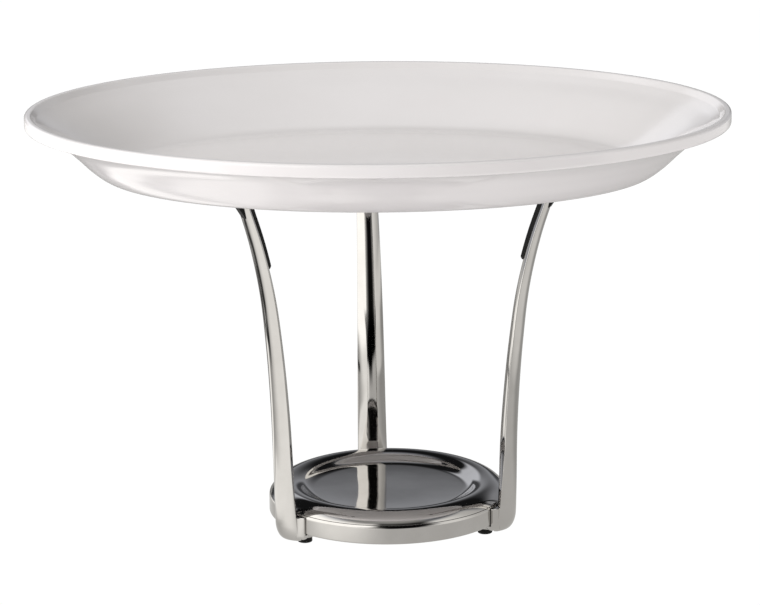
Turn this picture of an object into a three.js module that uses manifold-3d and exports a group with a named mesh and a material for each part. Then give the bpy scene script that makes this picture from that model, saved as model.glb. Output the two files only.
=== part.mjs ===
// Buffet stand: a round polished steel base with a shallow dish, three curved
// legs with rubber grips, and an oval porcelain platter resting on the grips.
// Millimetres, +Z up. Origin: on the table, under the centre of the platter.
// The long axis of the platter is along X; the front of the stand faces -Y.

import * as THREE from 'three';
import { mergeVertices } from 'three/addons/utils/BufferGeometryUtils.js';
import Module from 'manifold-3d';

const wasm = await Module();
wasm.setup();

// ---------------------------------------------------------------- dimensions
// platter (an oval; every contour is the rim ellipse moved in by an offset)
const PLATTER_A = 200.0;          // rim half length, along X
const PLATTER_B = 145.0;          // rim half width, along Y
const RIM_TOP_Z = 245.35;         // highest line of the rim
const RIM_LOW_Z = 237.85;         // lower edge of the rim's outer band
const PLATTER_BASE_Z = 208.55;    // flat underside that rests on the grips
const WELL_Z = 213.65;            // flat floor inside
const RECESS_A = 90.0;            // recess in the middle of the underside
const RECESS_B = 46.0;
const RECESS_DEPTH = 1.4;

// the stand's axis; the platter sits a little to one side of it
const STAND_X = 4.5;
const STAND_Y = -2.0;

// base ring and dish (round, about the stand's axis)
const RING_R = 69.6;              // outer band
const RING_INNER_R = 60.0;
const RING_Z0 = 8.4;              // lower face
const RING_Z1 = 17.4;             // top of the vertical band
const SHOULDER_R = 3.6;           // rounding from the band up to the dish's edge
const FLANGE_R = 49.0;            // inner flange that carries the dish screws
const FLANGE_Z0 = 15.8;
const FLANGE_Z1 = 17.8;
const DISH_FLOOR_Z = 19.5;        // flat middle of the dish
const DISH_FLAT_R = 18.0;
const DISH_FOOT_R = 43.0;         // where the floor turns up into the roll
// the roll, from the floor outwards: [radius of the arc, slope at its end in degrees], concave first
const DISH_ARCS = [[-12.0, 38], [14.2, 0], [9.0, -16], [14.4, -56]];
const DISH_T = 1.3;               // sheet thickness
const BOSS_R = 3.6;               // screw bosses under the dish
const BOSS_PITCH_R = 53.5;

// legs
const LEG_AZ = { back: 97.35, left: 217.35, right: 337.35 };
// distance of the leg's section centre from the stand's axis, at heights above the table
const LEG_CURVE = [[3.9, 73.9], [29.2, 74.7], [59.2, 75.2], [89.2, 76.9], [119.2, 79.65], [149.2, 83.7],
  [179.2, 90.9], [206.6, 100.2]];
const LEG_TOP_Z = 205.75;
const LEG_WIDTH = [[3.9, 18.3], [8.7, 18.2], [107.2, 15.7], [206.7, 11.6]];
const LEG_DEPTH = [[3.9, 10.0], [8.7, 9.9], [107.2, 7.4], [206.7, 5.0]];
const LUG_HALF = 8.5;                 // half width of the squared part that meets the ring
const LUG_Z1 = 18.6;                  // its upper end
const SADDLE_HALF = 11.8;             // half width of the flared plate there
const TOE_Z0 = 3.9;                   // underside of the toe
const TOE_Z1 = 8.0;                   // top of the toe, just under the ring
const TOE_R = 60.6;                   // middle of the rubber foot
const TOE_HALF = 6.2;
const CLEAR = 0.3;                    // gap between fitted pieces

// grips
const GRIP_W = 3.7;               // width of the rubber strip
const GRIP_SLOT = 1.2;            // depth of the slot it is let into
const GRIP_PROUD = [2.0, 2.3];     // how far it stands out of the leg's inner face, lower end and top
const GRIP_LOW_Z = 165.8;         // lower end on the inner face
const GRIP_TOP_Z = 208.25;        // the face that carries the platter
const GRIP_LIP = 2.4;             // lip on the outer side of the leg
const GRIP_LIP_Z = 197.0;         // lower tip of the lip

// screws and feet
const LEG_SCREW_Z = 12.2, LEG_SCREW_R = 2.0, LEG_SCREW_HEAD_R = 3.3;
const FOOT_R = 4.3;               // rubber foot
const FOOT_SCREW_R = 1.5, FOOT_SCREW_HEAD_R = 2.6;
const DISH_SCREW_R = 1.5, DISH_SCREW_HEAD_R = 2.8;

// ------------------------------------------------------------------ helpers
function toManifold(geometry) {
  const g = geometry.index ? geometry.clone() : geometry.clone();
  g.deleteAttribute('normal');
  g.deleteAttribute('uv');
  const m = mergeVertices(g, 1e-4);
  return new wasm.Manifold(new wasm.Mesh({
    numProp: 3,
    vertProperties: new Float32Array(m.attributes.position.array),
    triVerts: new Uint32Array(m.index.array),
  }));
}

function toGeometry(manifold) {
  const mesh = manifold.getMesh();
  const pos = new Float32Array(mesh.numVert * 3);
  for (let i = 0; i < mesh.numVert; i++) {
    for (let k = 0; k < 3; k++) pos[i * 3 + k] = mesh.vertProperties[i * mesh.numProp + k];
  }
  const g = new THREE.BufferGeometry();
  g.setAttribute('position', new THREE.BufferAttribute(pos, 3));
  g.setIndex(new THREE.BufferAttribute(new Uint32Array(mesh.triVerts), 1));
  g.computeVertexNormals();
  return g;
}

// closed skin over rings of points; the first and last rings are capped
function loft(rings) {
  const n = rings[0].length, pos = [], idx = [];
  for (const ring of rings) for (const p of ring) pos.push(p[0], p[1], p[2]);
  for (let j = 0; j + 1 < rings.length; j++) {
    for (let i = 0; i < n; i++) {
      const a = j * n + i, b = j * n + (i + 1) % n, c = a + n, d = b + n;
      idx.push(a, b, d, a, d, c);
    }
  }
  const cap = (j, flip) => {
    const c = pos.length / 3, m = [0, 0, 0];
    for (const p of rings[j]) for (let k = 0; k < 3; k++) m[k] += p[k] / n;
    pos.push(m[0], m[1], m[2]);
    for (let i = 0; i < n; i++) {
      const a = j * n + i, b = j * n + (i + 1) % n;
      if (flip) idx.push(c, b, a); else idx.push(c, a, b);
    }
  };
  cap(0, true);
  cap(rings.length - 1, false);
  const g = new THREE.BufferGeometry();
  g.setAttribute('position', new THREE.BufferAttribute(new Float32Array(pos), 3));
  g.setIndex(idx);
  g.computeVertexNormals();
  return g;
}

// turned piece: profile of [radius, height], closed on itself, turned about Z
function turned(profile, segments = 72) {
  const pts = profile.map(([r, z]) => new THREE.Vector2(r, z));
  if (profile[0][0] > 1e-6) pts.push(pts[0].clone());
  const g = new THREE.LatheGeometry(pts, segments);
  g.rotateX(Math.PI / 2);          // the lathe turns about Y; stand it up on Z
  return g;
}

function solid(geometry) {
  let m = toManifold(geometry);
  if (m.volume() < 0) {
    const g = geometry.clone();
    const a = g.index.array;
    for (let i = 0; i < a.length; i += 3) { const t = a[i]; a[i] = a[i + 1]; a[i + 1] = t; }
    m = toManifold(g);
  }
  return m;
}

function cylinder(r, z0, z1, seg = 24, x = 0, y = 0) {
  const g = new THREE.CylinderGeometry(r, r, z1 - z0, seg);
  g.rotateX(Math.PI / 2);
  g.translate(x, y, (z0 + z1) / 2);
  return g;
}

function box(x0, x1, y0, y1, z0, z1) {
  const g = new THREE.BoxGeometry(x1 - x0, y1 - y0, z1 - z0);
  g.translate((x0 + x1) / 2, (y0 + y1) / 2, (z0 + z1) / 2);
  return g;
}

// smooth value through a table of [position, value]
function table(rows) {
  const xs = rows.map((r) => r[0]), ys = rows.map((r) => r[1]), n = xs.length;
  const d = [];
  for (let i = 0; i + 1 < n; i++) d.push((ys[i + 1] - ys[i]) / (xs[i + 1] - xs[i]));
  const m = [d[0]];
  for (let i = 1; i + 1 < n; i++) m.push((d[i - 1] + d[i]) / 2);
  m.push(d[n - 2]);
  return (x) => {
    const c = Math.min(Math.max(x, xs[0]), xs[n - 1]);
    let i = 0;
    while (i + 2 < n && c > xs[i + 1]) i++;
    const h = xs[i + 1] - xs[i], t = (c - xs[i]) / h, t2 = t * t, t3 = t2 * t;
    return (2 * t3 - 3 * t2 + 1) * ys[i] + (t3 - 2 * t2 + t) * h * m[i]
      + (-2 * t3 + 3 * t2) * ys[i + 1] + (t3 - t2) * h * m[i + 1];
  };
}

const group = new THREE.Group();
const stand = new THREE.Group();
stand.position.set(STAND_X, STAND_Y, 0);
group.add(stand);

const steel = () => new THREE.MeshStandardMaterial({ color: 0xd6d4cf, roughness: 0.08, metalness: 1.0 });
const screwSteel = () => new THREE.MeshStandardMaterial({ color: 0xb4b4b2, roughness: 0.35, metalness: 1.0 });
const rubber = () => new THREE.MeshStandardMaterial({ color: 0x101010, roughness: 0.75, metalness: 0.0 });
const porcelain = () => new THREE.MeshStandardMaterial({ color: 0xf2f0ec, roughness: 0.12, metalness: 0.0 });

function add(parent, name, geometry, material) {
  const mesh = new THREE.Mesh(geometry, material);
  mesh.name = name;
  parent.add(mesh);
  return mesh;
}

// ------------------------------------------------------------------ platter
// outline of the section, as [offset in from the rim ellipse, height]:
// down the outside, under the bottom, then up the inside
{
  const seg = 64;
  const T = RIM_TOP_Z, L = RIM_LOW_Z, B = PLATTER_BASE_Z, W = WELL_Z;
  const outside = [
    [0.2, T - 0.7], [-0.7, T - 2.2], [-1.0, T - 4.2], [-0.6, L + 1.0], [0.6, L], [3.4, L + 0.1],
    [7.5, B + 28.0], [18.9, B + 21.4], [26.6, B + 14.6], [34.0, B + 7.4], [40.0, B + 2.6], [43.2, B + 0.7], [46.0, B],
  ];
  const inside = [
    [58.0, W + 0.15], [51.5, W + 1.2], [45.5, W + 4.0], [38.0, W + 8.7], [29.0, W + 14.5],
    [20.0, W + 20.0], [11.0, W + 24.8], [5.6, W + 28.2], [3.3, W + 30.3], [1.7, T],
  ];
  const oval = (a, b, z) => {
    const ring = [];
    for (let i = 0; i < seg; i++) {
      const t = i / seg * 2 * Math.PI;
      ring.push([a * Math.cos(t), b * Math.sin(t), z]);
    }
    return ring;
  };
  const at = ([d, z]) => oval(PLATTER_A - d, PLATTER_B - d, z);
  const rings = [
    oval(RECESS_A - 3, RECESS_B - 3, PLATTER_BASE_Z + RECESS_DEPTH),
    oval(RECESS_A, RECESS_B, PLATTER_BASE_Z),
    ...outside.slice().reverse().map(at),
    ...inside.slice().reverse().map(at),
    oval(70, 40, WELL_Z),
  ];
  const platter = solid(loft(rings));
  add(group, 'platter', toGeometry(platter), porcelain());
}

// ---------------------------------------------------------------- base ring
const rad = (d) => d * Math.PI / 180;
// the dish's upper surface, [radius, height, slope]
function dishTop(step) {
  const s0 = 3.5, out = [[DISH_FLAT_R, DISH_FLOOR_Z, 0]];
  const w = DISH_FOOT_R - DISH_FLAT_R;
  out.push([DISH_FLAT_R + w / 2, DISH_FLOOR_Z + w * Math.tan(rad(s0)) / 8, s0 / 2]);
  let r = DISH_FOOT_R, z = DISH_FLOOR_Z + w * Math.tan(rad(s0)) / 2, s = s0;
  out.push([r, z, s]);
  for (const [R, end] of DISH_ARCS) {
    const n = Math.max(1, Math.round(Math.abs(end - s) / step)), from = s;
    for (let k = 1; k <= n; k++) {
      const e = from + (end - from) * k / n;
      r += R * (Math.sin(rad(s)) - Math.sin(rad(e)));
      z -= R * (Math.cos(rad(s)) - Math.cos(rad(e)));
      s = e;
      out.push([r, z, s]);
    }
  }
  return out;
}
const dishEdge = dishTop(12).at(-1);
const ringProfile = (() => {
  const [r, z, s] = dishEdge, c = Math.cos(rad(-s)), q = Math.sin(rad(-s));
  const start = [r + CLEAR * c, z - CLEAR * q];
  const centre = [start[0] - SHOULDER_R * q, start[1] - SHOULDER_R * c];
  const arc = [90, 82, 74, 66].map((a) => [Math.min(RING_R, centre[0] + SHOULDER_R * Math.sin(rad(a))), centre[1] + SHOULDER_R * Math.cos(rad(a))]);
  return [
    [RING_INNER_R, RING_Z0], [RING_R - 0.6, RING_Z0], [RING_R, RING_Z0 + 0.6], [RING_R, RING_Z1], ...arc.slice(1), start,
    [start[0] - 1.7 * q, start[1] - 1.7 * c], [66.6, FLANGE_Z1], [FLANGE_R, FLANGE_Z1], [FLANGE_R, FLANGE_Z0], [RING_INNER_R, FLANGE_Z0],
  ];
})();
const DISH_SCREW_AZ = [37.0, 157.0, 277.0];
{
  let ring = solid(turned(ringProfile, 72));
  for (const az of Object.values(LEG_AZ)) {
    const g = new THREE.CylinderGeometry(LEG_SCREW_R + CLEAR, LEG_SCREW_R + CLEAR, 20, 14);
    g.rotateZ(Math.PI / 2);
    g.translate(66, 0, LEG_SCREW_Z);
    g.rotateZ(rad(az));
    ring = ring.subtract(solid(g));
  }
  for (const az of DISH_SCREW_AZ) {
    ring = ring.subtract(solid(cylinder(DISH_SCREW_R + CLEAR, FLANGE_Z0 - 1, FLANGE_Z1 + 1, 12,
      BOSS_PITCH_R * Math.cos(rad(az)), BOSS_PITCH_R * Math.sin(rad(az)))));
  }
  add(stand, 'base_ring', toGeometry(ring), steel());
}

// --------------------------------------------------------------- base dish
{
  const top = dishTop(12);
  const under = top.map(([r, z, s]) => [r + DISH_T * Math.sin(rad(s)), z - DISH_T * Math.cos(rad(s))]).reverse();
  let dish = solid(turned([[0, DISH_FLOOR_Z], ...top.map(([r, z]) => [r, z]), ...under, [0, DISH_FLOOR_Z - DISH_T]], 72));
  // the bosses end inside the sheet
  const inside = solid(turned([[0, DISH_FLOOR_Z - 0.6], ...top.map(([r, z, s]) => [r + 0.6 * Math.sin(rad(s)), z - 0.6 * Math.cos(rad(s))]),
    [66, FLANGE_Z1 - 1], [0, FLANGE_Z1 - 1]], 72));
  for (const az of DISH_SCREW_AZ) {
    const x = BOSS_PITCH_R * Math.cos(rad(az)), y = BOSS_PITCH_R * Math.sin(rad(az));
    dish = dish.add(solid(cylinder(BOSS_R, FLANGE_Z1 + CLEAR, 28.0, 16, x, y)).intersect(inside));
    dish = dish.subtract(solid(cylinder(DISH_SCREW_R + CLEAR, FLANGE_Z1 - 1, 21.2, 12, x, y)));
  }
  add(stand, 'base_dish', toGeometry(dish), steel());
}

// ---------------------------------------------------------------- the legs
const legR = table(LEG_CURVE);
const legW = table(LEG_WIDTH);
const legD = table(LEG_DEPTH);

// leg section at one height, in [outward, sideways], about the section's centre: a slightly
// raised inner face of half width f, two slanted inner faces and a rounded outer face
function section(w, d, f, raised, widest) {
  const n1 = widest * d, s = d / 2 - n1, c = w / 2 - 0.25;
  const R = (c * c + s * s) / (2 * s), a0 = Math.asin(c / R);
  const pts = [-1, -0.5, 0, 0.5, 1].map((k) => [-d / 2 - raised * (0.45 - k * k), f * k]);
  // the slanted inner face swells a little along its own normal
  const n0 = -d / 2 + raised * 0.55, dn = n1 - n0, dt = c - f;
  const slant = (u, side) => {
    const h = 0.26 * raised / 0.36 * u * (1 - u);
    return [n0 + dn * u - dt * h, side * (f + dt * u + dn * h)];
  };
  pts.push(slant(0.35, 1), slant(0.7, 1), [n1 - 0.1, c + 0.25]);
  for (const k of [0.93, 0.62, 0.31, 0, -0.31, -0.62, -0.93]) {
    const a = a0 * k;
    pts.push([d / 2 - R + R * Math.cos(a), R * Math.sin(a)]);
  }
  pts.push([n1 - 0.1, -c - 0.25], slant(0.7, -1), slant(0.35, -1));
  return pts;
}

// the lower end: squared off inside where it meets the ring, rounded under the outer side
function legRing(z) {
  const w = legW(z), d = legD(z), lug = Math.min(1, Math.max(0, (LUG_Z1 + 0.35 - z) / 0.35));
  const f = 0.18 * w + (LUG_HALF - 0.18 * w) * lug;
  const dip = (h) => Math.sqrt(Math.max(0, 1 - Math.max(0, 1 - (z - TOE_Z0) / h) ** 2));
  const e = Math.min(1, Math.max(0, (z - 10) / 50));
  return section(w, d, f, 0.36 * (1 - lug), -0.15 + 0.29 * e * e * (3 - 2 * e)).map(([n, t]) => {
    const out = (n + d / 2) / d;
    const b = 0.86 - 0.3 * out;
    return [legR(z) - d / 2 + (n + d / 2) * (0.42 + 0.58 * dip(11.5)), t * (b + (1 - b) * dip(3.5 + 6.5 * out)), z];
  });
}

function legBar() {
  const zs = [3.9, 4.05, 4.5, 5.3, 6.6, 8.4, 10.8, 13.6, LUG_Z1, LUG_Z1 + 0.35, 24, 32, 42, 54, 70, 90, 108, 124, 139, 153, 166, 178, 188, 198, LEG_TOP_Z];
  return solid(loft(zs.map(legRing)));
}

// the strip's outline in the leg's own plane, [radius, height]
function gripOutline(grow) {
  const inner = (z) => legR(z) - legD(z) / 2;
  const outer = (z) => legR(z) + legD(z) / 2;
  const proud = (z) => GRIP_PROUD[0] + (GRIP_PROUD[1] - GRIP_PROUD[0]) * (z - GRIP_LOW_Z) / (GRIP_TOP_Z - GRIP_LOW_Z);
  const lo = GRIP_LOW_Z, lip = GRIP_LIP_Z, top = GRIP_TOP_Z;
  const pts = [];
  // chamfered lower end, then up the free inner side
  pts.push([inner(lo) - proud(lo) + 1.3, lo - grow]);
  pts.push([inner(lo + 1.6) - proud(lo), lo + 1.6]);
  for (const z of [172, 179, 186, 193, 200]) pts.push([inner(z) - proud(z), z]);
  pts.push([inner(206) - proud(206), top - 1.4]);
  pts.push([inner(206) - proud(206) + 1.4, top]);
  pts.push([outer(206) + GRIP_LIP - 1.0, top]);
  // the lip on the outside
  pts.push([outer(206) + GRIP_LIP, top - 1.0]);
  pts.push([outer(202.4) + GRIP_LIP - 0.4, 202.4]);
  pts.push([outer(199.4) + GRIP_LIP - 1.4, 199.4]);
  pts.push([outer(lip) + 0.2, lip - grow]);
  // back down inside the slot
  pts.push([outer(lip) - GRIP_SLOT - grow, lip - grow]);
  pts.push([outer(201) - GRIP_SLOT - grow, 201]);
  pts.push([outer(205) - GRIP_SLOT - grow, LEG_TOP_Z - 1.2 - grow]);
  pts.push([inner(205) + GRIP_SLOT + grow, LEG_TOP_Z - 1.2 - grow]);
  for (const z of [196, 188, 180, 172]) pts.push([inner(z) + GRIP_SLOT + grow, z]);
  pts.push([inner(lo) + GRIP_SLOT + grow, lo - grow]);
  return pts;
}

function gripSolid(grow) {
  const shape = new THREE.Shape(gripOutline(grow).map(([r, z]) => new THREE.Vector2(r, z)));
  const w = GRIP_W + 2 * grow;
  const g = new THREE.ExtrudeGeometry(shape, { depth: w, bevelEnabled: false, steps: 1 });
  g.translate(0, 0, -w / 2);
  g.rotateX(Math.PI / 2);
  return solid(g);
}

// flared plate on both sides of the leg's lower end that follows the ring
function saddle() {
  const half = [[64, 0], [64, 8.2], [66.2, 10.6], [67.8, SADDLE_HALF]];
  const p = [69.9, SADDLE_HALF + 0.15], q = [70.7, 9.7], r = [72.9, 8.7];
  for (const u of [0, 0.3, 0.6, 1]) {
    half.push([0, 1].map((k) => p[k] * (1 - u) ** 2 + 2 * q[k] * u * (1 - u) + r[k] * u * u));
  }
  const outline = [...half, ...half.slice(1).reverse().map(([x, y]) => [x, -y])];
  const rings = [[5.2, 0.84], [5.5, 0.9], [6.3, 0.96], [7.6, 1], [LUG_Z1 - 0.5, 1], [LUG_Z1, 0.97]]
    .map(([z, k]) => outline.map(([x, y]) => [67 + (x - 67) * k, y * k, z]));
  return solid(loft(rings));
}

function buildLeg() {
  let leg = legBar().add(saddle());
  // toe that turns in under the ring
  const toeShape = new THREE.Shape();
  toeShape.moveTo(70.6, -TOE_HALF);
  toeShape.lineTo(70.6, TOE_HALF);
  toeShape.lineTo(TOE_R, TOE_HALF);
  toeShape.absarc(TOE_R, 0, TOE_HALF, Math.PI / 2, 3 * Math.PI / 2, false);
  const toe = new THREE.ExtrudeGeometry(toeShape, {
    depth: TOE_Z1 - TOE_Z0 - 1.2, bevelEnabled: true, bevelThickness: 0.6, bevelSize: 0.6, bevelOffset: -0.6,
    bevelSegments: 1, steps: 1, curveSegments: 8,
  });
  toe.translate(0, 0, TOE_Z0 + 0.6);
  leg = leg.add(solid(toe));
  // clearance for the ring
  leg = leg.subtract(solid(cylinder(RING_R + CLEAR, TOE_Z1, 20.2, 120)));
  // screw holes
  const hole = new THREE.CylinderGeometry(LEG_SCREW_R + CLEAR, LEG_SCREW_R + CLEAR, 8.6, 14);
  hole.rotateZ(Math.PI / 2);
  hole.translate(69 + 4.3, 0, LEG_SCREW_Z);
  leg = leg.subtract(solid(hole));
  leg = leg.subtract(solid(cylinder(FOOT_SCREW_R + CLEAR, TOE_Z0 - 1, TOE_Z1 - 0.9, 12, TOE_R, 0)));
  // slot for the grip
  leg = leg.subtract(gripSolid(CLEAR));
  return toGeometry(leg);
}

function turnedAt(name, geometry, azDeg, material) {
  const g = geometry.clone();
  g.rotateZ(rad(azDeg));
  return add(stand, name, g, material);
}

const legGeometry = buildLeg();
const gripGeometry = toGeometry(gripSolid(0));

// leg screw: button head inside the ring, shank through the wall into the leg
const legScrew = (() => {
  const profile = [[0, 0], [LEG_SCREW_HEAD_R - 0.9, 0], [LEG_SCREW_HEAD_R, 1.0], [LEG_SCREW_HEAD_R, 2.2],
    [LEG_SCREW_R, 2.2], [LEG_SCREW_R, 18.0], [LEG_SCREW_R - 0.5, 18.6], [0, 18.6]];
  let s = solid(turned(profile, 14));
  const socket = new THREE.CylinderGeometry(1.25, 1.25, 2.4, 6);
  socket.rotateX(Math.PI / 2);
  s = s.subtract(solid(socket));
  const g = toGeometry(s);
  g.rotateY(Math.PI / 2);
  g.translate(RING_INNER_R - 2.2 - CLEAR, 0, LEG_SCREW_Z);
  return g;
})();

// rubber foot: a short stud with a recess for its screw's head
const rubberFoot = (() => {
  const profile = [[0, 2.0], [FOOT_SCREW_HEAD_R + 0.4, 2.0], [FOOT_SCREW_HEAD_R + 0.4, 0], [FOOT_R - 0.6, 0],
    [FOOT_R, 0.6], [FOOT_R - 0.2, TOE_Z0 - CLEAR], [0, TOE_Z0 - CLEAR]];
  let s = solid(turned(profile, 20));
  s = s.subtract(solid(cylinder(FOOT_SCREW_R + CLEAR, -1, 6, 12)));
  const g = toGeometry(s);
  g.translate(TOE_R, 0, 0);
  return g;
})();

const footScrew = (() => {
  const profile = [[0, 0.5], [FOOT_SCREW_HEAD_R - 0.5, 0.5], [FOOT_SCREW_HEAD_R, 1.0], [FOOT_SCREW_HEAD_R, 1.7],
    [FOOT_SCREW_R, 1.7], [FOOT_SCREW_R, 6.5], [FOOT_SCREW_R - 0.4, 6.9], [0, 6.9]];
  let s = solid(turned(profile, 12));
  s = s.subtract(solid(box(-2.2, 2.2, -0.3, 0.3, 0, 0.9)));
  const g = toGeometry(s);
  g.translate(TOE_R, 0, 0);
  return g;
})();

const dishScrew = (() => {
  const z = FLANGE_Z0 - CLEAR;
  const profile = [[0, z - 1.9], [DISH_SCREW_HEAD_R - 0.6, z - 1.9], [DISH_SCREW_HEAD_R, z - 1.2], [DISH_SCREW_HEAD_R, z],
    [DISH_SCREW_R, z], [DISH_SCREW_R, 20.1], [DISH_SCREW_R - 0.4, 20.5], [0, 20.5]];
  let s = solid(turned(profile, 12));
  s = s.subtract(solid(box(-2.2, 2.2, -0.3, 0.3, z - 3, z - 1.3)));
  const g = toGeometry(s);
  g.translate(BOSS_PITCH_R, 0, 0);
  return g;
})();

for (const [side, az] of Object.entries(LEG_AZ)) {
  turnedAt(`leg_${side}`, legGeometry, az, steel());
  turnedAt(`grip_${side}`, gripGeometry, az, rubber());
  turnedAt(`rubber_foot_${side}`, rubberFoot, az, rubber());
  turnedAt(`leg_screw_${side}`, legScrew, az, screwSteel());
  turnedAt(`foot_screw_${side}`, footScrew, az, screwSteel());
}
DISH_SCREW_AZ.forEach((az, i) => turnedAt(`dish_screw_${i + 1}`, dishScrew, az, screwSteel()));

export default group;
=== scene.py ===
import math

import bmesh
import bpy
from mathutils import Matrix, Vector


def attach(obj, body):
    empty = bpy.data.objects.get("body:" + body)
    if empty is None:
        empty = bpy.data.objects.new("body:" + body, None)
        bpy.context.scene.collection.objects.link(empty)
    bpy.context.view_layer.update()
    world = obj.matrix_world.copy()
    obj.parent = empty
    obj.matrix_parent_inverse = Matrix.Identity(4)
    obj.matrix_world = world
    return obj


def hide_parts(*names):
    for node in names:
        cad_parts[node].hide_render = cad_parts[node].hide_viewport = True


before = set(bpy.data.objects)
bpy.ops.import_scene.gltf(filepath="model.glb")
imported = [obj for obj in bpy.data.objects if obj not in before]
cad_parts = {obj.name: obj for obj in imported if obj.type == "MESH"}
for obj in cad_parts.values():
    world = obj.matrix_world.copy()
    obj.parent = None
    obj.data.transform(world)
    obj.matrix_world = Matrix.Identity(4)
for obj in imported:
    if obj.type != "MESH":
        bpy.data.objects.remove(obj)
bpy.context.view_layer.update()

MM = 0.001

# ------------------------------------------------------------------ sizes, mm
PLATTER_A, PLATTER_B = 200.0, 145.0
RIM_TOP, RIM_LOW, BASE_Z, WELL_Z = 245.35, 237.85, 208.55, 213.65
STAND_X, STAND_Y = 4.5, -2.0
RING_R, RING_INNER, RING_Z0, SHOULDER = 69.6, 60.0, 8.4, 3.6
FLANGE_R, FLANGE_Z0, FLANGE_Z1 = 49.0, 15.8, 17.8
DISH_F, DISH_FLAT, DISH_FOOT, DISH_T = 19.5, 18.0, 43.0, 1.3
DISH_ARCS = [(-12.0, 38.0), (14.2, 0.0), (9.0, -16.0), (14.4, -56.0)]   # radius, slope at the end
LEG_AZ = {"back": 97.35, "left": 217.35, "right": 337.35}
LEG_CURVE = [(3.9, 73.9), (29.2, 74.7), (59.2, 75.2), (89.2, 76.9), (119.2, 79.65), (149.2, 83.7),
             (179.2, 90.9), (206.6, 100.2)]
LEG_WIDTH = [(3.9, 18.3), (8.7, 18.2), (107.2, 15.7), (206.7, 11.6)]
LEG_DEPTH = [(3.9, 10.0), (8.7, 9.9), (107.2, 7.4), (206.7, 5.0)]
LEG_TOP, TOE_Z0, TOE_Z1, TOE_R, TOE_HALF, LUG_HALF, LUG_Z1, SADDLE_HALF = 205.75, 3.9, 8.0, 60.6, 6.2, 8.5, 18.6, 11.8
GRIP_W, GRIP_SLOT, GRIP_LOW, GRIP_TOP, GRIP_LIP, LIP_Z = 3.7, 1.2, 165.8, 208.25, 2.4, 197.0
LEG_SCREW_Z = 12.2
DISH_SCREW_AZ = (37.0, 157.0, 277.0)
BOSS_R = 53.5


# ------------------------------------------------------------------- helpers
def table(rows):
    """Smooth value through a table of (position, value)."""
    xs = [r[0] for r in rows]
    ys = [r[1] for r in rows]
    n = len(xs)
    d = [(ys[i + 1] - ys[i]) / (xs[i + 1] - xs[i]) for i in range(n - 1)]
    m = [d[0]] + [(d[i - 1] + d[i]) / 2 for i in range(1, n - 1)] + [d[-1]]

    def at(x):
        c = min(max(x, xs[0]), xs[-1])
        i = 0
        while i + 2 < n and c > xs[i + 1]:
            i += 1
        h = xs[i + 1] - xs[i]
        t = (c - xs[i]) / h
        return ((2 * t ** 3 - 3 * t ** 2 + 1) * ys[i] + (t ** 3 - 2 * t ** 2 + t) * h * m[i]
                + (-2 * t ** 3 + 3 * t ** 2) * ys[i + 1] + (t ** 3 - t ** 2) * h * m[i + 1])
    return at


def smooth_line(pts, step):
    """Centripetal spline through pts, sampled about every step mm."""
    p = [Vector((*q, 0.0)[:3]) for q in pts]
    p = [p[0] * 2 - p[1]] + p + [p[-1] * 2 - p[-2]]
    out = [p[1]]
    for i in range(1, len(p) - 2):
        p0, p1, p2, p3 = p[i - 1:i + 3]
        t0 = 0.0
        t1 = t0 + max((p1 - p0).length, 1e-6) ** 0.5
        t2 = t1 + max((p2 - p1).length, 1e-6) ** 0.5
        t3 = t2 + max((p3 - p2).length, 1e-6) ** 0.5
        n = max(2, int(math.ceil((p2 - p1).length / step)))
        for k in range(1, n + 1):
            t = t1 + (t2 - t1) * k / n
            a1 = p0 * ((t1 - t) / (t1 - t0)) + p1 * ((t - t0) / (t1 - t0))
            a2 = p1 * ((t2 - t) / (t2 - t1)) + p2 * ((t - t1) / (t2 - t1))
            a3 = p2 * ((t3 - t) / (t3 - t2)) + p3 * ((t - t2) / (t3 - t2))
            b1 = a1 * ((t2 - t) / (t2 - t0)) + a2 * ((t - t0) / (t2 - t0))
            b2 = a2 * ((t3 - t) / (t3 - t1)) + a3 * ((t - t1) / (t3 - t1))
            out.append(b1 * ((t2 - t) / (t2 - t1)) + b2 * ((t - t1) / (t2 - t1)))
    return [(q.x, q.y) for q in out]


def filleted(pts, closed=True, seg=5):
    """Polygon with its corners rounded: pts is [(x, y, radius)]. Each straight side gets a point close to each end."""
    n = len(pts)
    out = []
    for i in range(n):
        x, y, r = pts[i]
        if r <= 0 or (not closed and i in (0, n - 1)):
            out.append((x, y))
            continue
        p = Vector((x, y))
        a = Vector(pts[i - 1][:2]) - p
        b = Vector(pts[(i + 1) % n][:2]) - p
        la, lb = a.length, b.length
        a, b = a / la, b / lb
        half = math.acos(max(-1.0, min(1.0, a.dot(b)))) / 2
        if half > math.radians(89):
            out.append((x, y))
            continue
        cut = min(r / math.tan(half), 0.46 * la, 0.46 * lb)
        r = cut * math.tan(half)
        c = p + (a + b).normalized() * (r / math.sin(half))
        s = p + a * cut - c
        e = p + b * cut - c
        ang = math.atan2(s.x * e.y - s.y * e.x, s.dot(e))
        lead = min(0.25 * cut, 0.02 * la)
        out.append(tuple(p + a * (cut + lead)))
        for k in range(seg + 1):
            t = ang * k / seg
            out.append((c.x + s.x * math.cos(t) - s.y * math.sin(t), c.y + s.x * math.sin(t) + s.y * math.cos(t)))
        lead = min(0.25 * cut, 0.02 * lb)
        out.append(tuple(p + b * (cut + lead)))
    return out


def finish_mesh(bm, name, mat, angle=35.0, weighted=True):
    bmesh.ops.remove_doubles(bm, verts=bm.verts, dist=1e-7)
    bmesh.ops.recalc_face_normals(bm, faces=bm.faces)
    me = bpy.data.meshes.new(name)
    bm.to_mesh(me)
    bm.free()
    ob = bpy.data.objects.new(name, me)
    bpy.context.scene.collection.objects.link(ob)
    me.materials.append(mat)
    smooth(ob, angle, weighted)
    return ob


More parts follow.
